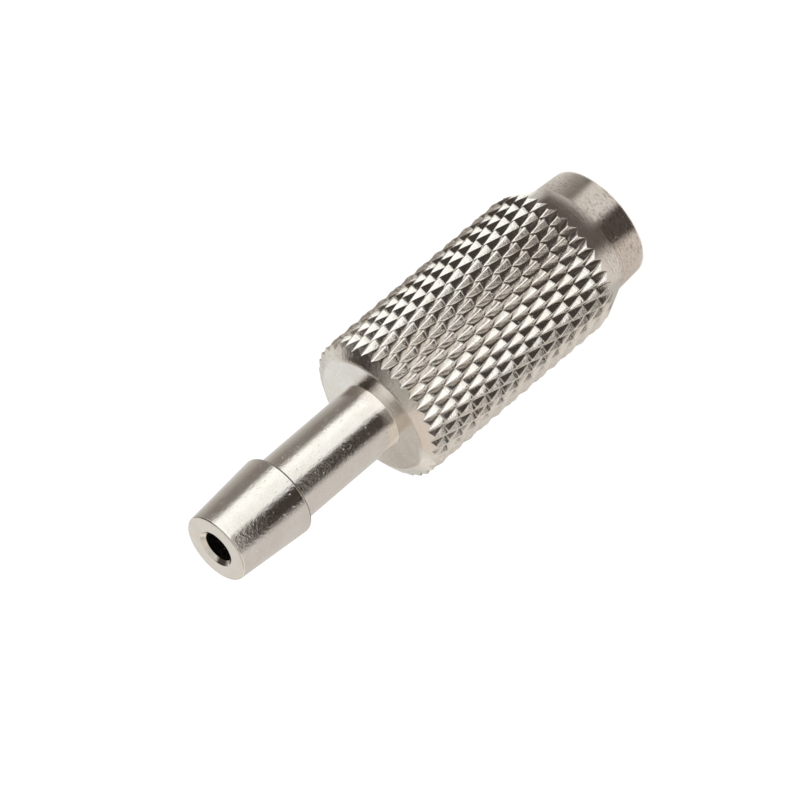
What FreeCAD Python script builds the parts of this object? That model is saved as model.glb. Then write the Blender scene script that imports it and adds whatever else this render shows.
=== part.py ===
# Blood pressure hose connector: one turned, nickel-plated brass body with a hose barb,
# a diamond-knurled grip and a smooth nose, and a rubber seal ring inside its mouth.
# Frame: +Z runs along the axis from the nose to the barb. The origin is the centre of
# the nose's end face, on which the connector stands.
import FreeCAD, Part
import math
import os

# Driving dimensions, in millimetres

# Hose barb and its neck
STEM_LENGTH = 13.85
BARB_LENGTH = 5.65
BARB_TIP_D = 4.72
BARB_RIM_D = 5.55
NECK_D = 4.5
TIP_EDGE_R = 0.12
RIM_EDGE_BEVEL = 0.08

# Knurled grip
GRIP_D = 10.0
FRONT_FACE_D = 8.06
FACE_EDGE_WIDTH = 0.14
FACE_EDGE_DROP = 0.07
FRONT_BEVEL_LENGTH = 0.75
LAND_LENGTH = 15.2

# Diamond teeth of the knurl: size of one tooth around and along the grip
TOOTH_WIDTH = 0.9
TOOTH_LENGTH = 2.52
TOOTH_DEPTH = 0.4
FIRST_TOOTH_FROM_BEVEL = 0.86

# Shoulder and nose
SHOULDER_LENGTH = 2.25
NOSE_LENGTH = 2.19
NOSE_BASE_D = 7.96
NOSE_END_D = 7.64
NOSE_EDGE_BEVEL = 0.1

# Air passage from the barb's tip
PASSAGE_D = 2.1
PASSAGE_BEVEL = 0.15

# Socket in the nose, which takes the spigot of the cuff or the monitor
SOCKET_D = 5.2
SOCKET_DEPTH = 9.0
SOCKET_LEAD_IN = 0.4

# Seal ring and its groove in the socket's wall
RING_SECTION_D = 1.0
RING_SQUEEZE = 0.2
SPIGOT_CLEARANCE = 0.1
GROOVE_FROM_MOUTH = 4.0
GROOVE_SIDE_CLEARANCE = 0.2
RING_SEAT_CLEARANCE = 0.02

# Stations along the axis, worked out from the sizes above
SHOULDER_Z = NOSE_LENGTH
LAND_Z = SHOULDER_Z + SHOULDER_LENGTH
BEVEL_Z = LAND_Z + LAND_LENGTH
FACE_Z = BEVEL_Z + FRONT_BEVEL_LENGTH
TIP_Z = FACE_Z + STEM_LENGTH
RIM_Z = TIP_Z - BARB_LENGTH

# Radii
CREST_R = GRIP_D / 2
ROOT_R = CREST_R - TOOTH_DEPTH
SOCKET_R = SOCKET_D / 2
SPIGOT_R = SOCKET_R - SPIGOT_CLEARANCE
RING_INNER_R = SPIGOT_R - RING_SQUEEZE
RING_OUTER_R = RING_INNER_R + RING_SECTION_D
GROOVE_R = RING_OUTER_R + RING_SEAT_CLEARANCE
GROOVE_WIDTH = RING_SECTION_D + 2 * GROOVE_SIDE_CLEARANCE

# The blank's land stands this far outside the teeth, so that only its bevels cut them
BLANK_ALLOWANCE = 0.2
# The knurl's outline is carried on this far past both ends of the body
OUTLINE_OVERRUN = 1.0


def rounded_corner(before, here, after, edge_radius):
    """Start, middle and end of the arc that rounds one corner of a profile."""
    back = (before - here).normalize()
    forward = (after - here).normalize()
    half = back.getAngle(forward) / 2
    setback = edge_radius / math.tan(half)
    inward = (back + forward).normalize()
    middle = here + inward * (edge_radius / math.sin(half) - edge_radius)
    return here + back * setback, middle, here + forward * setback


def turned(corners):
    """Turn a closed profile of (radius, height, edge radius) corners round the Z axis."""
    count = len(corners)
    places = [FreeCAD.Vector(radius, 0, height) for radius, height, edge_radius in corners]
    bends = []
    for i in range(count):
        edge_radius = corners[i][2]
        bends.append(rounded_corner(places[i - 1], places[i], places[(i + 1) % count], edge_radius))
    edges = []
    for i in range(count):
        start, middle, end = bends[i]
        next_start = bends[(i + 1) % count][0]
        if corners[i][2] > 0:
            edges.append(Part.Arc(start, middle, end).toShape())
        edges.append(Part.LineSegment(end, next_start).toShape())
    face = Part.Face(Part.Wire(edges))
    return face.revolve(FreeCAD.Vector(0, 0, 0), FreeCAD.Vector(0, 0, 1), 360)


def height_on_slope(radius, height, other_radius, other_height, wanted_radius):
    """Height at which the straight slope through two profile points has a radius."""
    share = (wanted_radius - radius) / (other_radius - radius)
    return height + share * (other_height - height)


def turned_blank():
    """The body as turned, before the knurl: outside, air passage, socket and groove."""
    land_r = CREST_R + BLANK_ALLOWANCE
    face_r = FRONT_FACE_D / 2
    edge_r = face_r + FACE_EDGE_WIDTH
    edge_z = FACE_Z - FACE_EDGE_DROP
    rim_r = BARB_RIM_D / 2
    nose_end_r = NOSE_END_D / 2
    nose_base_r = NOSE_BASE_D / 2
    land_top = height_on_slope(edge_r, edge_z, CREST_R, BEVEL_Z, land_r)
    land_bottom = height_on_slope(nose_base_r, SHOULDER_Z, CREST_R, LAND_Z, land_r)
    passage_r = PASSAGE_D / 2
    groove_top = GROOVE_FROM_MOUTH + GROOVE_WIDTH
    outside = [
        (nose_end_r - NOSE_EDGE_BEVEL, 0, 0),
        (nose_end_r, NOSE_EDGE_BEVEL, 0),
        (nose_base_r, SHOULDER_Z, 0),
        (land_r, land_bottom, 0),
        (land_r, land_top, 0),
        (edge_r, edge_z, 0),
        (face_r, FACE_Z, 0),
        (NECK_D / 2, FACE_Z, 0),
        (NECK_D / 2, RIM_Z, 0),
        (rim_r - RIM_EDGE_BEVEL, RIM_Z, 0),
        (rim_r, RIM_Z + RIM_EDGE_BEVEL, 0),
        (BARB_TIP_D / 2, TIP_Z, TIP_EDGE_R),
    ]
    inside = [
        (passage_r + PASSAGE_BEVEL, TIP_Z, 0),
        (passage_r, TIP_Z - PASSAGE_BEVEL, 0),
        (passage_r, SOCKET_DEPTH, 0),
        (SOCKET_R, SOCKET_DEPTH, 0),
        (SOCKET_R, groove_top, 0),
        (GROOVE_R, groove_top, 0),
        (GROOVE_R, GROOVE_FROM_MOUTH, 0),
        (SOCKET_R, GROOVE_FROM_MOUTH, 0),
        (SOCKET_R, SOCKET_LEAD_IN, 0),
        (SOCKET_R + SOCKET_LEAD_IN, 0, 0),
    ]
    return turned(outside + inside)


def knurl_outline():
    """The diamond teeth as one long faceted bar.

    Rings of points stand half a tooth apart along the axis. Each ring has a point every
    half tooth round the grip, in turn a tooth's tip and the bottom of a gap, and each
    next ring is shifted by half a tooth. The flanks are the flat triangles between two
    bottoms and a tip, and the long edges from bottom to bottom are the crossing grooves.
    """
    teeth = round(math.pi * GRIP_D / TOOTH_WIDTH)
    slots = 2 * teeth
    half_length = TOOTH_LENGTH / 2
    first_tip_z = BEVEL_Z - FIRST_TOOTH_FROM_BEVEL
    rings_above = math.ceil((FACE_Z - first_tip_z) / half_length)
    rings_below = math.ceil((first_tip_z - SHOULDER_Z) / half_length)
    ring_numbers = range(-rings_below, rings_above + 1)

    def ring_point(slot, ring, height):
        is_tip = (slot + ring) % 2 == 0
        radius = CREST_R if is_tip else ROOT_R
        angle = 2 * math.pi * slot / slots
        return FreeCAD.Vector(radius * math.cos(angle), radius * math.sin(angle), height)

    def ring_of(ring, height):
        return [ring_point(slot % slots, ring, height) for slot in range(slots + 1)]

    faces = []
    rings = [ring_of(n, first_tip_z + n * half_length) for n in ring_numbers]
    for n, lower, upper in zip(ring_numbers, rings[:-1], rings[1:]):
        for slot in range(slots):
            a = lower[slot]
            b = lower[slot + 1]
            c = upper[slot]
            d = upper[slot + 1]
            if (slot + n) % 2 == 0:
                triangles = [(a, b, c), (b, d, c)]
            else:
                triangles = [(a, b, d), (a, d, c)]
            for corners in triangles:
                faces.append(Part.Face(Part.makePolygon(list(corners) + [corners[0]])))
    bottom = ring_of(ring_numbers[0], -OUTLINE_OVERRUN)
    top = ring_of(ring_numbers[-1], TIP_Z + OUTLINE_OVERRUN)
    for low, high in ((bottom, rings[0]), (rings[-1], top)):
        for slot in range(slots):
            loop = [low[slot], low[slot + 1], high[slot + 1], high[slot], low[slot]]
            faces.append(Part.Face(Part.makePolygon(loop)))
    faces.append(Part.Face(Part.makePolygon(bottom)))
    faces.append(Part.Face(Part.makePolygon(top)))
    return Part.makeSolid(Part.makeShell(faces))


def connector_body():
    """The turned blank with the knurl: everything outside the teeth's outline is gone."""
    return turned_blank().common(knurl_outline()).Solids[0]


def seal_ring():
    """Rubber ring of round section, half way along its groove."""
    middle_r = RING_INNER_R + RING_SECTION_D / 2
    middle_z = GROOVE_FROM_MOUTH + GROOVE_WIDTH / 2
    return Part.makeTorus(middle_r, RING_SECTION_D / 2, FreeCAD.Vector(0, 0, middle_z))


os.makedirs("parts", exist_ok=True)
connector_body().exportStep("parts/connector_body.step")
seal_ring().exportStep("parts/seal_ring.step")
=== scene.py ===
import math

import bmesh
import bpy
import numpy as np
from mathutils import Matrix, Vector


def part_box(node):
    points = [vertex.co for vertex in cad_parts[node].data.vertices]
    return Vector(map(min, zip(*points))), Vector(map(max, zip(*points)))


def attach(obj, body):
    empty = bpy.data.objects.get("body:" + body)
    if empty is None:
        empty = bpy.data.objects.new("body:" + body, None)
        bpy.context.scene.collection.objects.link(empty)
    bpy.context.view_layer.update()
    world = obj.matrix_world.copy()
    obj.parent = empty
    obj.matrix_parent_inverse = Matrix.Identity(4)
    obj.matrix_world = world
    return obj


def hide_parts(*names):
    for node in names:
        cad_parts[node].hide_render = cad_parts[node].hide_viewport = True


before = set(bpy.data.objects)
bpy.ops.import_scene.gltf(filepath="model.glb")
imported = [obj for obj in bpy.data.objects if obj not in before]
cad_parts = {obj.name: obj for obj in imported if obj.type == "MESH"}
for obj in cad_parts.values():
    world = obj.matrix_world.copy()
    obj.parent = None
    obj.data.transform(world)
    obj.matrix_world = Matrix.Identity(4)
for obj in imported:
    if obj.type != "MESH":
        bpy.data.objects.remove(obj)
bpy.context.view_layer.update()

MM = 0.001

# Sizes of the turned body, in metres; the crest radius and the height are the loaded solid's
BODY_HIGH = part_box("connector_body")[1]
TIP_Z = BODY_HIGH.z
CREST_R = BODY_HIGH.x
STEM_LENGTH = 13.85 * MM
BARB_LENGTH = 5.65 * MM
BARB_TIP_R = 2.36 * MM
BARB_RIM_R = 2.775 * MM
NECK_R = 2.25 * MM
FACE_R = 4.03 * MM
FACE_EDGE_R = 4.17 * MM
FACE_EDGE_DROP = 0.07 * MM
BEVEL_LENGTH = 0.62 * MM
SHOULDER_LENGTH = 2.25 * MM
NOSE_LENGTH = 2.19 * MM
NOSE_BASE_R = 3.98 * MM
NOSE_END_R = 3.82 * MM
PASSAGE_R = 1.05 * MM
PASSAGE_BEVEL = 0.25 * MM
SOCKET_R = 2.6 * MM
SOCKET_DEPTH = 9.0 * MM
SOCKET_LEAD_IN = 0.4 * MM
GROOVE_R = 3.32 * MM
GROOVE_LOW = 4.0 * MM
GROOVE_HIGH = 5.4 * MM

# Edge rounds; the construction has small bevels at the nose's end, the flat face and the rim
TIP_ROUND = 0.12 * MM
NOSE_ROUND = 0.1 * MM
FACE_ROUND = 0.25 * MM
RIM_ROUND = 0.2 * MM
FINE_ROUND = 0.03 * MM
ROUND_STEPS = 6

# Heights of the turned body's corners
FACE_Z = TIP_Z - STEM_LENGTH
FACE_EDGE_Z = FACE_Z - FACE_EDGE_DROP
RIM_Z = TIP_Z - BARB_LENGTH
BEVEL_Z = FACE_Z - BEVEL_LENGTH
SHOULDER_Z = NOSE_LENGTH
LAND_Z = SHOULDER_Z + SHOULDER_LENGTH

# Diamond teeth of the knurl: their first ring of tips lies this far below the flat face
TEETH = 35
TOOTH_DEPTH = 0.37 * MM
TOOTH_LENGTH = 2.52 * MM
FIRST_TIP_FROM_FACE = 1.61 * MM
FIRST_TIP_Z = FACE_Z - FIRST_TIP_FROM_FACE
RIDGE_SOFTNESS = 0.07
BULGE = 1.15

# Places of the grid's lines within each half tooth, and the count of halvings with which the
# curves between teeth and bevels are found
GRID_STEPS = (0.0, 0.06, 0.2, 0.5, 0.8, 0.94)
HALVINGS = 40

# Points closer than this are one point, and edges with a larger angle are kept sharp
MERGE_DISTANCE = 0.0005 * MM
SHARP_ANGLE = math.radians(35)

# The photograph's view: 800 pixels across, with the axis' two ends at these pixels
PHOTO_PIXELS = 800
PIXELS_PER_METRE = 16400
NOSE_PIXEL = (599.35, 220.62)
TIP_PIXEL = (216.7, 548.2)
VIEW_AZIMUTH = math.radians(88.5)
VIEW_ELEVATION = math.radians(26.2)
VIEW_DISTANCE = 1.5
SENSOR_WIDTH = 36.0
CLIP_START = 0.01
CLIP_END = 10


def look():
    """The camera, turned about its own axis so that the barb points down to the left."""
    back = Vector((
        math.sin(VIEW_AZIMUTH) * math.cos(VIEW_ELEVATION),
        -math.cos(VIEW_AZIMUTH) * math.cos(VIEW_ELEVATION),
        math.sin(VIEW_ELEVATION),
    ))
    upright = (Vector((0, 0, 1)) - back * back.z).normalized()
    sideways = upright.cross(back)
    along = Vector((TIP_PIXEL[0] - NOSE_PIXEL[0], NOSE_PIXEL[1] - TIP_PIXEL[1])).normalized()
    right = upright * along.x + sideways * along.y
    up = upright * along.y - sideways * along.x
    middle = Vector((0, 0, TIP_Z / 2))
    half = PHOTO_PIXELS / 2
    shift_right = ((NOSE_PIXEL[0] + TIP_PIXEL[0]) / 2 - half) / PIXELS_PER_METRE
    shift_up = (half - (NOSE_PIXEL[1] + TIP_PIXEL[1]) / 2) / PIXELS_PER_METRE
    aim = middle - right * shift_right - up * shift_up
    camera = bpy.data.objects.new("camera", bpy.data.cameras.new("camera"))
    camera.data.sensor_width = SENSOR_WIDTH
    camera.data.lens = SENSOR_WIDTH * VIEW_DISTANCE * PIXELS_PER_METRE / PHOTO_PIXELS
    camera.data.clip_start = CLIP_START
    camera.data.clip_end = CLIP_END
    turn = Matrix((right, up, back)).transposed().to_4x4()
    camera.matrix_world = Matrix.Translation(aim + back * VIEW_DISTANCE) @ turn
    bpy.context.scene.collection.objects.link(camera)
    bpy.context.scene.camera = camera


look()


# Surfaces

def rounded_profile(corners, steps=ROUND_STEPS):
    """Points along (radius, height, edge radius) corners. Each rounded corner is an arc that
    touches both of its sides: its points turn evenly from one side's normal to the other's."""
    points = []
    for before, here, after in zip(corners[-1:] + corners[:-1], corners, corners[1:] + corners[:1]):
        place = np.array(here[:2])
        if here[2] == 0:
            points.append(place)
            continue
        back = np.array(before[:2]) - place
        back /= np.linalg.norm(back)
        onward = np.array(after[:2]) - place
        onward /= np.linalg.norm(onward)
        half = math.acos(back @ onward) / 2
        inward = (back + onward) / np.linalg.norm(back + onward)
        centre = place + inward * here[2] / math.sin(half)
        start = place + back * here[2] / math.tan(half) - centre
        end = place + onward * here[2] / math.tan(half) - centre
        whole = math.pi - 2 * half
        for share in np.linspace(0, 1, steps + 1):
            first = math.sin((1 - share) * whole) / math.sin(whole)
            second = math.sin(share * whole) / math.sin(whole)
            points.append(centre + first * start + second * end)
    return np.array(points)


def knurl_radius(slot, ring):
    """Radius of the toothed surface. A place is given in half teeth round and along the grip.
    The nearest tooth tip is the nearest place whose two numbers have an even sum. The surface
    falls with a power of the distances from it, added up, so that a tooth bulges a little,
    and each ridge is slightly rounded."""
    one = np.round((slot + ring) / 2)
    other = np.round((slot - ring) / 2)
    across = slot - one - other
    along = ring - one + other
    fall = np.sqrt(across ** 2 + RIDGE_SOFTNESS ** 2) + np.sqrt(along ** 2 + RIDGE_SOFTNESS ** 2)
    return CREST_R - TOOTH_DEPTH * (fall - 2 * RIDGE_SOFTNESS) ** BULGE


def ring_of(height):
    """Number of the ring of tooth tips at a height, counted up from the one by the bevel."""
    return (height - FIRST_TIP_Z) / (TOOTH_LENGTH / 2)


def sloped(r0, z0, r1, z1):
    """Radius of a cone as a function of height, through two profile points."""
    return lambda z: r0 + (r1 - r0) * (z - z0) / (z1 - z0)


def meeting_height(slot, low, high, cone):
    """Height at which the teeth meet a bevel, found for all columns at once by halving."""
    widens_upwards = cone(high) > cone(low)
    low = np.full_like(slot, low)
    high = np.full_like(slot, high)
    for _ in range(HALVINGS):
        middle = (low + high) / 2
        outside = knurl_radius(slot, ring_of(middle)) > cone(middle)
        low = np.where(outside == widens_upwards, middle, low)
        high = np.where(outside == widens_upwards, high, middle)
    return (low + high) / 2


def body_rows():
    """The body's surface as rows of radius and height over the columns. The rows run up the
    outside and down through the bore and socket, and the last one joins the first. In the
    knurl the rows stop at the curve on which the teeth meet each bevel."""
    steps = np.array(GRID_STEPS)
    slot = (np.arange(2 * TEETH)[:, None] + steps).ravel()
    front = sloped(FACE_EDGE_R, FACE_EDGE_Z, CREST_R, BEVEL_Z)
    rear = sloped(NOSE_BASE_R, SHOULDER_Z, CREST_R, LAND_Z)
    top = meeting_height(slot, BEVEL_Z, FACE_EDGE_Z, front)
    bottom = meeting_height(slot, SHOULDER_Z, LAND_Z, rear)
    first = math.floor(ring_of(SHOULDER_Z))
    last = math.ceil(ring_of(FACE_Z))
    rings = (np.arange(first, last)[:, None] + steps).ravel()
    ring_z = FIRST_TIP_Z + rings * TOOTH_LENGTH / 2
    tooth_z = np.clip(ring_z[:, None], bottom, top)
    tooth_r = knurl_radius(slot[None, :], ring_of(tooth_z))
    lower = rounded_profile([
        (SOCKET_R + SOCKET_LEAD_IN, 0, 0),
        (NOSE_END_R, 0, NOSE_ROUND),
        (NOSE_BASE_R, SHOULDER_Z, 0),
    ])
    upper = rounded_profile([
        (CREST_R, BEVEL_Z, 0),
        (FACE_EDGE_R, FACE_EDGE_Z, FACE_ROUND),
        (FACE_R, FACE_Z, FACE_ROUND),
        (NECK_R, FACE_Z, FINE_ROUND),
        (NECK_R, RIM_Z, FINE_ROUND),
        (BARB_RIM_R, RIM_Z, RIM_ROUND),
        (BARB_TIP_R, TIP_Z, TIP_ROUND),
        (PASSAGE_R + PASSAGE_BEVEL, TIP_Z, 0),
        (PASSAGE_R, TIP_Z - PASSAGE_BEVEL, 0),
        (PASSAGE_R, SOCKET_DEPTH, 0),
        (SOCKET_R, SOCKET_DEPTH, 0),
        (SOCKET_R, GROOVE_HIGH, 0),
        (GROOVE_R, GROOVE_HIGH, 0),
        (GROOVE_R, GROOVE_LOW, 0),
        (SOCKET_R, GROOVE_LOW, 0),
        (SOCKET_R, SOCKET_LEAD_IN, 0),
    ])[1:]
    columns = np.ones_like(slot)
    radii = np.vstack([lower[:, :1] * columns, tooth_r, upper[:, :1] * columns])
    heights = np.vstack([lower[:, 1:] * columns, tooth_z, upper[:, 1:] * columns])
    ring_number = np.zeros(len(radii))
    toothed = slice(len(lower), len(lower) + len(rings))
    ring_number[toothed] = np.repeat(np.arange(first, last), len(steps))
    slot_number = np.repeat(np.arange(2 * TEETH), len(steps))
    return slot * math.pi / TEETH, radii, heights, slot_number, ring_number


def turned_body():
    """The connector's metal body, one closed surface round the axis: a grid that closes on
    itself both round the axis and along the profile. Each point is (radius * cos angle,
    radius * sin angle, height). In the knurl each cell is split along the groove that crosses
    it, so that the grooves are sharp."""
    angle, radii, heights, slot_number, ring_number = body_rows()
    places = np.stack([radii * np.cos(angle), radii * np.sin(angle), heights], axis=-1)
    a = np.arange(radii.size).reshape(radii.shape)
    b = np.roll(a, -1, axis=1)
    c = np.roll(a, -1, axis=0)
    d = np.roll(b, -1, axis=0)
    falling = ((slot_number[None, :] + ring_number[:, None]) % 2 == 0)[..., None]
    one = np.where(falling, np.stack([a, b, c], -1), np.stack([a, b, d], -1))
    two = np.where(falling, np.stack([b, d, c], -1), np.stack([a, d, c], -1))
    triangles = np.concatenate([one.reshape(-1, 3), two.reshape(-1, 3)])
    return solid_piece("nickel_body", places.reshape(-1, 3), triangles)


def solid_piece(name, places, faces):
    """A piece from points and faces: points that fall together are merged, faces are turned
    outwards and edges sharper than the limit are kept sharp."""
    mesh = bpy.data.meshes.new(name)
    mesh.from_pydata(places, [], faces)
    work = bmesh.new()
    work.from_mesh(mesh)
    bmesh.ops.remove_doubles(work, verts=work.verts, dist=MERGE_DISTANCE)
    bmesh.ops.dissolve_degenerate(work, edges=work.edges, dist=MERGE_DISTANCE)
    bmesh.ops.recalc_face_normals(work, faces=work.faces)
    work.to_mesh(mesh)
    work.free()
    mesh.shade_smooth()
    mesh.set_sharp_from_angle(angle=SHARP_ANGLE)
    piece = bpy.data.objects.new(name, mesh)
    bpy.context.scene.collection.objects.link(piece)
    return piece


body = turned_body()
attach(body, "root")
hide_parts("connector_body")


# Materials

# Where the plate changes along the axis, in millimetres from a corner of the profile. The last two
# bound the painted shade line along the barb's rim
GRIP_FROM_LAND = (-0.9, -0.5)
GRIP_FROM_BEVEL = (0.0, 0.3)
NOSE_FROM_LAND = (-1.2, -0.6)
SHADE_FROM_RIM = (-0.05, 0.0)
SHADE_PAST_RIM = (0.08, 0.2)

# Where it changes down a tooth, as shares of the tooth's depth, negative below the tip: the valleys
# get painted shade and the ridges a painted highlight
VALLEY_SHARES = (-1.0, -0.3)
RIDGE_SHARES = (-0.25, 0.0)

# Sizes of the plate's patches in millimetres, and the depths of its relief in metres
MARK_SIZE = 0.045
SPECKLE_SIZE = 0.05
GRAIN_SIZE = 0.06
SCRATCH_SIZE = 0.07
RIPPLE_SIZE = 0.22
DENT_SIZE = 0.25
CLOUD_SIZE = 1.6
WEAR_SIZE = 2.2
MARK_DEPTH = 0.004 * MM
GRAIN_DEPTH = 0.006 * MM
RIPPLE_DEPTH = 0.011 * MM
DENT_DEPTH = -0.01 * MM

# Levels of a noise round 0.5 between which its patches begin and are full
DENT_LEVELS = (0.68, 0.8)
SCRATCH_LEVELS = (0.48, 0.66)
WEAR_LEVELS = (0.4, 0.6)
SPECKLE_LEVELS = (0.35, 0.7)
CLOUD_LEVELS = (0.35, 0.65)

# The turning marks' strength on the plain faces, and what the nose and shoulder add to it.
# Scratches are several times as long round the axis as they are wide
MARKS_ON_FACES = 0.3
MARKS_ON_NOSE = 2.0
SCRATCH_STRETCH = 5

# Roughness of the plate, and what its clouds, the teeth's valleys and the nose add to it
PLATE_ROUGHNESS = 0.09
CLOUD_ROUGHNESS = 0.07
VALLEY_ROUGHNESS = 0.05
NOSE_ROUGHNESS = 0.07

# Tones of the plate, and how strongly each covers what lies under it. The ridge tone is a painted
# highlight, and the valley and rim tones are painted shade
WARM_PLATE = (0.83, 0.785, 0.73)
PALE_PLATE = (0.87, 0.84, 0.80)
SPECKLE_TONE = (0.45, 0.42, 0.39)
SCRATCH_TONE = (0.25, 0.22, 0.20)
RIDGE_HIGHLIGHT_TONE = (0.90, 0.875, 0.83)
VALLEY_SHADE_TONE = (0.30, 0.26, 0.22)
RIM_SHADE_TONE = (0.10, 0.085, 0.075)
SPECKLE_COVER = 0.22
SCRATCH_COVER = 0.2
WORN_SCRATCH_COVER = 0.45
VALLEY_SHADE_COVER = 0.08
RIM_SHADE_COVER = 0.85

# Rubber and paper: patch sizes in millimetres, depth in metres, roughness and tones
BLOOM_SIZE = 0.5
RUBBER_DEPTH = 0.004 * MM
RUBBER_ROUGHNESS = 0.45
BLOOM_ROUGHNESS = 0.2
DARK_RUBBER = (0.018, 0.018, 0.019)
GREY_RUBBER = (0.05, 0.048, 0.046)
FIBRE_SIZE = 1.5
PAPER_TONE = (0.80, 0.80, 0.80)
FIBRE_TONE = (0.82, 0.82, 0.82)
PAPER_GLOW = (0.65, 0.655, 0.67)

BLACK = (0, 0, 0)
WHITE = (1, 1, 1)

# Sockets of the Mix node that carry colours
MIX_FIRST_COLOUR = 6
MIX_SECOND_COLOUR = 7
MIX_COLOUR_OUTPUT = 2


class Signal:
    """One output in a material's node tree. Python's signs between signals and numbers make
    Math nodes, and every other node comes from node()."""

    def __init__(self, tree, output=None):
        self.tree = tree
        self.output = output

    def node(self, kind, settings=None, values=None, output=0):
        """A node of any type: its settings first, then its sockets' values or links."""
        made = self.tree.nodes.new(kind)
        for name, setting in (settings or {}).items():
            setattr(made, name, setting)
        for place, value in (values or {}).items():
            if isinstance(value, Signal):
                self.tree.links.new(value.output, made.inputs[place])
            else:
                made.inputs[place].default_value = value
        return Signal(self.tree, made.outputs[output] if made.outputs else None)

    def maths(self, operation, first, second=0.0):
        values = {0: first, 1: second}
        return self.node("ShaderNodeMath", {"operation": operation}, values)

    def __add__(self, other):
        return self.maths("ADD", self, other)

    def __radd__(self, other):
        return self.maths("ADD", other, self)

    def __sub__(self, other):
        return self.maths("SUBTRACT", self, other)

    def __rsub__(self, other):
        return self.maths("SUBTRACT", other, self)

    def __mul__(self, other):
        return self.maths("MULTIPLY", self, other)

    def __rmul__(self, other):
        return self.maths("MULTIPLY", other, self)

    def __truediv__(self, other):
        return self.maths("DIVIDE", self, other)

    def ramp(self, start, end):
        """0 up to the start, 1 from the end on, and a smooth rise between them."""
        settings = {"interpolation_type": "SMOOTHSTEP"}
        values = {"Value": self, "From Min": start, "From Max": end}
        return self.node("ShaderNodeMapRange", settings, values)

    def blend(self, colour, other):
        """The first colour where this signal is 0, the other where it is 1."""
        colour, other = (
            tone if isinstance(tone, Signal) else (*tone, 1) for tone in (colour, other)
        )
        values = {"Factor": self, MIX_FIRST_COLOUR: colour, MIX_SECOND_COLOUR: other}
        return self.node("ShaderNodeMix", {"data_type": "RGBA"}, values, MIX_COLOUR_OUTPUT)


def new_material(name):
    """An empty material, and the signal from which its nodes are made."""
    material = bpy.data.materials.new(name)
    material.use_nodes = True
    material.node_tree.nodes.clear()
    return material, Signal(material.node_tree)


def finish_material(start, surface):
    """Link the surface to the material's output."""
    start.node("ShaderNodeOutputMaterial", None, {"Surface": surface})


def millimetres(start):
    """Object coordinates in millimetres, as a vector, and its x, y and z."""
    place = start.node("ShaderNodeTexCoord", output="Object")
    scaled = start.node("ShaderNodeVectorMath", {"operation": "SCALE"}, {0: place, "Scale": 1 / MM})
    x, y, z = (start.node("ShaderNodeSeparateXYZ", None, {0: scaled}, axis) for axis in "XYZ")
    return scaled, x, y, z


def radius_of(start, x, y):
    """Distance from the axis."""
    return start.maths("SQRT", x * x + y * y)


def noise(start, place, size, detail=2.0, roughness=0.5):
    """Cloudy noise round 0.5, with patches of about the given size in millimetres."""
    values = {"Vector": place, "Scale": 1 / size, "Detail": detail, "Roughness": roughness}
    return start.node("ShaderNodeTexNoise", None, values)


def bumped(start, height, depth, below=None):
    """Surface normal of a relief: the height signal times the depth in metres."""
    values = {"Height": height, "Distance": depth, "Strength": 1.0}
    if below is not None:
        values["Normal"] = below
    return start.node("ShaderNodeBump", None, values)


def change(signal, corner, edges, unit=1.0):
    """A rise from 0 to 1 between two edges. They are measured from a corner of the profile, in
    millimetres or in a unit of so many millimetres. The corner is given in metres."""
    start, end = (corner / MM + edge * unit for edge in edges)
    return signal.ramp(start, end)


def plate_zones(radius, z):
    """Where the plate differs, each 1 inside and 0 outside: the grip, the valleys of its teeth
    (painted shade) and their ridges (painted highlight), the nose with the shoulder, and the
    painted shade line along the barb's rim."""
    depth = TOOTH_DEPTH / MM
    grip = change(z, LAND_Z, GRIP_FROM_LAND) * (1 - change(z, BEVEL_Z, GRIP_FROM_BEVEL))
    shaded_valley = (1 - change(radius, CREST_R, VALLEY_SHARES, depth)) * grip
    ridge = change(radius, CREST_R, RIDGE_SHARES, depth) * grip
    nose = 1 - change(z, LAND_Z, NOSE_FROM_LAND)
    rim_shade_line = change(z, RIM_Z, SHADE_FROM_RIM) * (1 - change(z, RIM_Z, SHADE_PAST_RIM))
    return grip, shaded_valley, ridge, nose, rim_shade_line


def plate_relief(start, place, marks):
    """Normal of the plate: turning marks, fine grain, ripples and rare small dents."""
    dents = noise(start, place, DENT_SIZE, detail=1).ramp(*DENT_LEVELS)
    normal = bumped(start, marks, MARK_DEPTH)
    normal = bumped(start, noise(start, place, GRAIN_SIZE, 3, 0.6), GRAIN_DEPTH, normal)
    normal = bumped(start, noise(start, place, RIPPLE_SIZE, 2, 0.6), RIPPLE_DEPTH, normal)
    return bumped(start, dents, DENT_DEPTH, normal)


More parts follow.
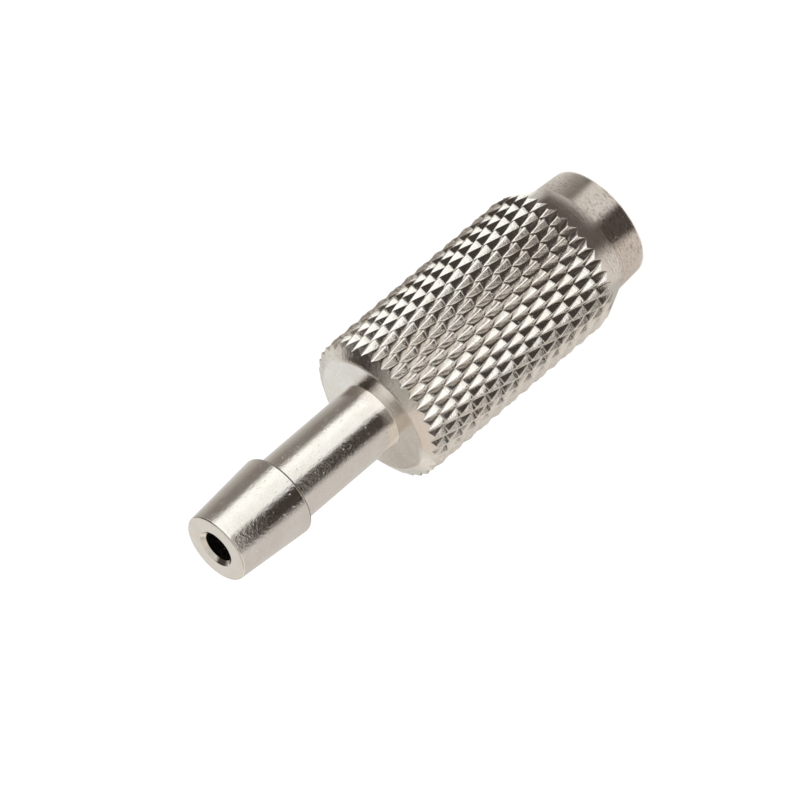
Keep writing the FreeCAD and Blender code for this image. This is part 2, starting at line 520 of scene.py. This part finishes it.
def nickel_plate():
    """Satin nickel plate, with a tint that wanders between warm and pale and a dark speckle.
    The teeth's ridges get a painted highlight, and their valleys are duller and darker with painted
    shade. The nose and shoulder have strong turning marks and fine scratches round the axis,
    which are darker in worn patches, and a painted shade line runs along the barb's rim."""
    material, start = new_material("nickel_plate")
    place, x, y, z = millimetres(start)
    radius = radius_of(start, x, y)
    grip, shaded_valley, ridge, nose, rim_shade_line = plate_zones(radius, z)

    profile = start.node("ShaderNodeCombineXYZ", None, {"X": radius, "Y": z})
    marks = noise(start, profile, MARK_SIZE, detail=2, roughness=0.7)
    marks = marks * (MARKS_ON_FACES * (1 - grip) + MARKS_ON_NOSE * nose)

    drawn_out = {"X": x * (1 / SCRATCH_STRETCH), "Y": y * (1 / SCRATCH_STRETCH), "Z": z}
    round_axis = start.node("ShaderNodeCombineXYZ", None, drawn_out)
    scratches = noise(start, round_axis, SCRATCH_SIZE, detail=3, roughness=0.7)
    scratches = scratches.ramp(*SCRATCH_LEVELS) * nose
    worn = noise(start, place, WEAR_SIZE, detail=1).ramp(*WEAR_LEVELS)
    clouds = noise(start, place, CLOUD_SIZE, detail=3, roughness=0.6)
    speckle = noise(start, place, SPECKLE_SIZE, detail=2, roughness=0.6)

    scratch_cover = scratches * (SCRATCH_COVER + WORN_SCRATCH_COVER * worn)
    colour = clouds.ramp(*CLOUD_LEVELS).blend(WARM_PLATE, PALE_PLATE)
    colour = (speckle.ramp(*SPECKLE_LEVELS) * SPECKLE_COVER).blend(colour, SPECKLE_TONE)
    colour = scratch_cover.blend(colour, SCRATCH_TONE)
    # painted highlight: a paler tone along the teeth's ridges
    colour = ridge.blend(colour, RIDGE_HIGHLIGHT_TONE)
    # painted shade: a darker tone in the teeth's valleys
    colour = (shaded_valley * VALLEY_SHADE_COVER).blend(colour, VALLEY_SHADE_TONE)
    # painted shade: a dark line along the barb's rounded rim
    colour = (rim_shade_line * RIM_SHADE_COVER).blend(colour, RIM_SHADE_TONE)
    rough = PLATE_ROUGHNESS + CLOUD_ROUGHNESS * clouds
    rough = rough + VALLEY_ROUGHNESS * shaded_valley + NOSE_ROUGHNESS * nose
    surface = start.node("ShaderNodeBsdfPrincipled", None, {
        "Base Color": colour,
        "Metallic": 1.0,
        "Roughness": rough,
        "Normal": plate_relief(start, place, marks),
    })
    finish_material(start, surface)
    return material


def seal_rubber():
    """Black rubber: soft clouds of grey bloom and a fine grain."""
    material, start = new_material("seal_rubber")
    place = millimetres(start)[0]
    bloom = noise(start, place, BLOOM_SIZE, detail=3)
    surface = start.node("ShaderNodeBsdfPrincipled", None, {
        "Base Color": bloom.blend(DARK_RUBBER, GREY_RUBBER),
        "Roughness": RUBBER_ROUGHNESS + BLOOM_ROUGHNESS * bloom,
        "Normal": bumped(start, noise(start, place, GRAIN_SIZE), RUBBER_DEPTH),
    })
    finish_material(start, surface)
    return material


body.data.materials.append(nickel_plate())
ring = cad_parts["seal_ring"]
ring.data.materials.clear()
ring.data.materials.append(seal_rubber())


# Studio

# Tones that the metal mirrors, round the object by azimuth in degrees: the tone on the far
# left, then for each change its azimuth, half the width of its blend, and the tone after it
NOSE_TONES = (
    (0.66, 0.59, 0.54),
    (-58, 10, (0.085, 0.07, 0.06)),
    (2, 9, (0.74, 0.70, 0.66)),
    (66, 9, (0.20, 0.18, 0.16)),
    (118, 57, (0.80, 0.76, 0.71)),
)
LOWER_FLANK_TONES = (
    (0.24, 0.22, 0.20),
    (-124, 8, (0.72, 0.69, 0.65)),
    (-82, 8, (0.80, 0.76, 0.70)),
    (-52, 6, (0.06, 0.05, 0.045)),
    (101, 26, (0.54, 0.50, 0.45)),
)
UPPER_FLANK_TONES = (
    (0.28, 0.26, 0.24),
    (-128, 10, (0.72, 0.67, 0.61)),
    (-58, 10, (0.60, 0.57, 0.52)),
    (-2, 8, (0.97, 0.97, 0.94)),
    (66, 10, (0.58, 0.54, 0.48)),
    (110, 15, (0.42, 0.38, 0.34)),
)
STEM_TONES = (
    (0.67, 0.64, 0.61),
    (-58, 10, (0.05, 0.04, 0.035)),
    (-4, 4, (1.10, 1.10, 1.07)),
    (32, 12, (1.26, 1.28, 1.25)),
    (66, 7, (0.25, 0.23, 0.21)),
    (112, 18, (0.47, 0.445, 0.41)),
    (145, 20, (0.70, 0.69, 0.67)),
)
SHOULDER_TONES = (
    (0.55, 0.53, 0.50),
    (-63, 8, (0.76, 0.71, 0.66)),
    (-26, 11, (0.13, 0.11, 0.10)),
    (61, 8, (0.62, 0.60, 0.57)),
    (78, 6, (1.2, 1.2, 1.15)),
)

# The sheet on the floor, from inside the nose's foot outwards: its radii and height. Then the
# radii in millimetres over which each ring of tones changes to the next
FLOOR_RING = (3.9 * MM, 0.3, 0.02 * MM)
NOSE_TO_LOWER_FLANKS = (6.8, 8)
LOWER_TO_UPPER_FLANKS = (23, 25)
UPPER_FLANKS_TO_STEM = (38, 42)
STEM_TO_UPPER_FLANKS = (165, 210)

# Radius of the nose as a mirror in millimetres, and the steps that find where it mirrors
NOSE_MIRROR_R = 3.88
AZIMUTH_STEPS = 4
FIRST_GUESS = 0.75

# The collar round the shoulder's foot: its radii and height, and the tone of its inner edge
# between two radii in millimetres and two azimuths
COLLAR_RING = (4.02 * MM, 6.2 * MM, SHOULDER_Z)
SHOULDER_FOOT_TONE = (0.50, 0.47, 0.44)
SHOULDER_FOOT_RADII = (4.1, 4.9)
SHOULDER_FOOT_AZIMUTHS = (2, 60)
SHOULDER_FOOT_SOFTNESS = 8

# The card that the flat face mirrors: half its width, its distance and heights, its two tones
# and the places in millimetres to the camera's right between which they change
FACE_CARD = (0.02, 0.03, (31 * MM, 39 * MM))
FACE_LEFT_TONE = (0.47, 0.42, 0.38)
FACE_RIGHT_TONE = (0.86, 0.88, 0.88)
FACE_TONE_CHANGE = (-3, 1.5)

# Cards round the object: azimuths, elevations, distance and tone
SURROUND_TONE = (0.43, 0.41, 0.37)
CARDS = {
    "surround": ((-180, 180), (-1.2, 90), 0.8, SURROUND_TONE),
    "top_sky": ((-50, 55), (67, 82), 0.3, (0.50, 0.49, 0.46)),
    "front_sky": ((-50, 70), (38, 67), 0.3, (0.72, 0.69, 0.65)),
    "side_sky": ((70, 95), (60, 82), 0.3, (0.38, 0.35, 0.32)),
    "side_flag": ((70, 132), (22, 60), 0.3, (0.06, 0.05, 0.045)),
    "high_flag": ((95, 132), (60, 82), 0.3, (0.06, 0.05, 0.045)),
    "left_sky": ((-140, -55), (34, 74), 0.3, (0.76, 0.68, 0.61)),
    "front_flag": ((-60, -8), (12, 36), 0.28, (0.16, 0.15, 0.14)),
    "front_card": ((-46, -8), (1, 12), 0.28, (0.62, 0.60, 0.56)),
    "left_card": ((-150, -61), (-16, 24), 0.28, (0.98, 0.92, 0.85)),
    "right_card": ((90, 142), (-16, 24), 0.28, (0.30, 0.27, 0.25)),
}
RING_STEPS = 145
CARD_STEPS = 33

# Lamps: azimuth, elevation, angular width and height in degrees, level and colour
LAMPS = {
    "main_light": (30, 16, 78, 36, 1.0, (0.96, 1.0, 1.04)),
    "rear_light": (180, 24, 100, 40, 0.35, WHITE),
}
LAMP_DISTANCE = 0.5
OBJECT_MIDDLE = Vector((0, 0, TIP_Z / 2))
FLOOR_HALF_WIDTH = 3


def toward(azimuth, elevation):
    """Direction in degrees: azimuth to the right of the camera's side, elevation upwards."""
    turn = VIEW_AZIMUTH + math.radians(azimuth)
    rise = math.radians(elevation)
    level = math.cos(rise)
    return Vector((math.sin(turn) * level, -math.cos(turn) * level, math.sin(rise)))


def softbox(name, azimuth, elevation, spread, height, level, colour):
    """A lamp panel of a given angular width and height, whose face shines at the level."""
    lamp = bpy.data.lights.new(name, "AREA")
    lamp.color = colour
    lamp.shape = "RECTANGLE"
    lamp.size = 2 * LAMP_DISTANCE * math.tan(math.radians(spread / 2))
    lamp.size_y = 2 * LAMP_DISTANCE * math.tan(math.radians(height / 2))
    lamp.energy = level * math.pi * lamp.size * lamp.size_y
    panel = bpy.data.objects.new(name, lamp)
    away = toward(azimuth, elevation)
    panel.location = OBJECT_MIDDLE + away * LAMP_DISTANCE
    panel.rotation_euler = away.to_track_quat("Z", "Y").to_euler()
    bpy.context.scene.collection.objects.link(panel)


def ring_sheet(inner, outer, height):
    """Points of a flat ring round the axis: two rows of radius * (sin angle, -cos angle)."""
    angle = VIEW_AZIMUTH + np.radians(np.linspace(-180, 180, RING_STEPS))
    radius = np.array([inner, outer])[:, None]
    x = radius * np.sin(angle)
    y = -radius * np.cos(angle)
    return np.stack([x, y, np.full_like(x, height)], -1)


def panel_sheet(azimuths, elevations, distance):
    """Points of a panel bent to a sphere round the object: rows of elevation over azimuth."""
    turn = VIEW_AZIMUTH + np.radians(np.linspace(*azimuths, CARD_STEPS))
    rise = np.radians(np.linspace(*elevations, CARD_STEPS))[:, None]
    x = distance * np.cos(rise) * np.sin(turn)
    y = -distance * np.cos(rise) * np.cos(turn)
    z = distance * np.sin(rise) + TIP_Z / 2 + 0 * turn
    return np.stack([x, y, z], -1)


def standing_sheet(half_width, distance, heights):
    """Points of an upright card behind the object, square to the camera: two rows of two."""
    away = np.array(toward(180, 0)) * distance
    side = np.array(toward(90, 0)) * half_width
    lifts = np.array([(0, 0, height) for height in heights])
    return np.stack([away - side + lifts, away + side + lifts], 1)


def glowing(name, tones):
    """Material of a reflector: it shines with a tone worked out from its own place."""
    material, start = new_material(name)
    x, y = millimetres(start)[1:3]
    surface = start.node("ShaderNodeBsdfPrincipled", None, {
        "Base Color": (*BLACK, 1),
        "Specular IOR Level": 0.0,
        "Emission Color": tones(start, x, y),
        "Emission Strength": 1.0,
    })
    finish_material(start, surface)
    return material


def reflector(name, sheet, tones):
    """A sheet for the metal to mirror, out of the camera's sight: rows of points."""
    rows, columns = sheet.shape[:2]
    start = (np.arange(rows - 1)[:, None] * columns + np.arange(columns - 1)).ravel()
    faces = np.stack([start, start + 1, start + columns + 1, start + columns], -1)
    mesh = bpy.data.meshes.new(name)
    mesh.from_pydata(sheet.reshape(-1, 3), [], faces)
    mesh.materials.append(glowing(name, tones))
    card = bpy.data.objects.new(name, mesh)
    bpy.context.scene.collection.objects.link(card)
    for ray in ("camera", "diffuse", "shadow", "transmission", "volume_scatter"):
        setattr(card, "visible_" + ray, False)


def from_axis(x, y):
    """How far a place is to the camera's right of the axis, and how far towards it."""
    side = math.sin(VIEW_AZIMUTH)
    front = -math.cos(VIEW_AZIMUTH)
    return y * side - x * front, x * side + y * front


def degrees_from_camera(start, x, y):
    """Azimuth of a place in degrees, to the right of the camera's side: -180 to 180."""
    return start.maths("ARCTAN2", *from_axis(x, y)) * math.degrees(1)


def mirrored_azimuth(start, azimuth, radius):
    """Azimuth in which a ray leaves the nose to reach a place on the floor. A ray that leaves
    the nose at the azimuth p goes on at 2 p, and passes the axis at nose radius times sin p,
    so that 2 p is the place's azimuth plus arcsin(nose radius * sin p / place's radius)."""
    turn = azimuth * math.radians(1)
    p = turn * FIRST_GUESS
    for _ in range(AZIMUTH_STEPS):
        p = (turn + start.maths("ARCSINE", NOSE_MIRROR_R * start.maths("SINE", p) / radius)) * 0.5
    return p * math.degrees(2)


def sector(azimuth, low, high, half_width):
    """1 between two azimuths and 0 outside, with a soft edge at both."""
    rise = azimuth.ramp(low - half_width, low + half_width)
    fall = azimuth.ramp(high - half_width, high + half_width)
    return rise * (1 - fall)


def tones_round(azimuth, tones):
    """Tone at an azimuth, from a table of tones."""
    tone = tones[0]
    for edge, half_width, colour in tones[1:]:
        tone = azimuth.ramp(edge - half_width, edge + half_width).blend(tone, colour)
    return tone


def floor_tones(start, x, y):
    """Tones on the floor, in rings round the axis. The nose mirrors the innermost ring and the
    teeth's lower flanks the next one, neck and barb the broad ring from 40 to about 190 mm, and
    the teeth's upper flanks what is left."""
    place_azimuth = degrees_from_camera(start, x, y)
    radius = radius_of(start, x, y)
    azimuth = mirrored_azimuth(start, place_azimuth, radius)
    lower_flanks = tones_round(place_azimuth, LOWER_FLANK_TONES)
    upper_flanks = tones_round(azimuth, UPPER_FLANK_TONES)
    tone = tones_round(azimuth, NOSE_TONES)
    tone = radius.ramp(*NOSE_TO_LOWER_FLANKS).blend(tone, lower_flanks)
    tone = radius.ramp(*LOWER_TO_UPPER_FLANKS).blend(tone, upper_flanks)
    tone = radius.ramp(*UPPER_FLANKS_TO_STEM).blend(tone, tones_round(azimuth, STEM_TONES))
    return radius.ramp(*STEM_TO_UPPER_FLANKS).blend(tone, upper_flanks)


def shoulder_tones(start, x, y):
    """Tones of the collar that the shoulder mirrors. Its inner edge, which the shoulder's foot
    mirrors, is paler on the camera's right."""
    azimuth = degrees_from_camera(start, x, y)
    inner_edge = 1 - radius_of(start, x, y).ramp(*SHOULDER_FOOT_RADII)
    foot = inner_edge * sector(azimuth, *SHOULDER_FOOT_AZIMUTHS, SHOULDER_FOOT_SOFTNESS)
    return foot.blend(tones_round(azimuth, SHOULDER_TONES), SHOULDER_FOOT_TONE)


def face_tones(start, x, y):
    """Tones of the card that the flat face mirrors: warm on the camera's left, paler on its
    right."""
    right = from_axis(x, y)[0]
    return right.ramp(*FACE_TONE_CHANGE).blend(FACE_LEFT_TONE, FACE_RIGHT_TONE)


def one_tone(colour):
    """Tones of a card of one colour."""
    return lambda start, x, y: (*colour, 1)


def background_rays(start):
    """1 for the rays that see the background: from the camera, mirrored and let through."""
    rays = [start.node("ShaderNodeLightPath", output="Is %s Ray" % kind)
            for kind in ("Camera", "Glossy", "Transmission")]
    return start.maths("MINIMUM", rays[0] + rays[1] + rays[2], 1.0)


def paper():
    """White paper of the floor. The rays that see the background see it lighter."""
    material, start = new_material("paper")
    fibre = noise(start, millimetres(start)[0], FIBRE_SIZE, detail=4)
    surface = start.node("ShaderNodeBsdfPrincipled", None, {
        "Base Color": fibre.blend(PAPER_TONE, FIBRE_TONE),
        "Roughness": 1.0,
        "Specular IOR Level": 0.0,
        "Emission Color": background_rays(start).blend(BLACK, PAPER_GLOW),
        "Emission Strength": 1.0,
    })
    finish_material(start, surface)
    return material


def plain_floor():
    """A square sheet of paper under the object."""
    mesh = bpy.data.meshes.new("floor")
    w = FLOOR_HALF_WIDTH
    mesh.from_pydata([(-w, -w, 0), (w, -w, 0), (w, w, 0), (-w, w, 0)], [], [(0, 1, 2, 3)])
    mesh.materials.append(paper())
    floor = bpy.data.objects.new("floor", mesh)
    bpy.context.scene.collection.objects.link(floor)


def studio_world():
    """White as a background, and pale as a light on the floor."""
    world = bpy.data.worlds.new("studio")
    bpy.context.scene.world = world
    world.use_nodes = True
    world.node_tree.nodes.clear()
    start = Signal(world.node_tree)
    colour = background_rays(start).blend(SURROUND_TONE, WHITE)
    back = start.node("ShaderNodeBackground", None, {"Color": colour, "Strength": 1.0})
    start.node("ShaderNodeOutputWorld", None, {"Surface": back})


plain_floor()
reflector("floor_tones", ring_sheet(*FLOOR_RING), floor_tones)
reflector("collar", ring_sheet(*COLLAR_RING), shoulder_tones)
reflector("face_card", standing_sheet(*FACE_CARD), face_tones)
for name, (azimuths, elevations, distance, colour) in CARDS.items():
    reflector(name, panel_sheet(azimuths, elevations, distance), one_tone(colour))
for name, lamp in LAMPS.items():
    softbox(name, *lamp)
studio_world()
bpy.context.scene.view_settings.view_transform = "Standard"
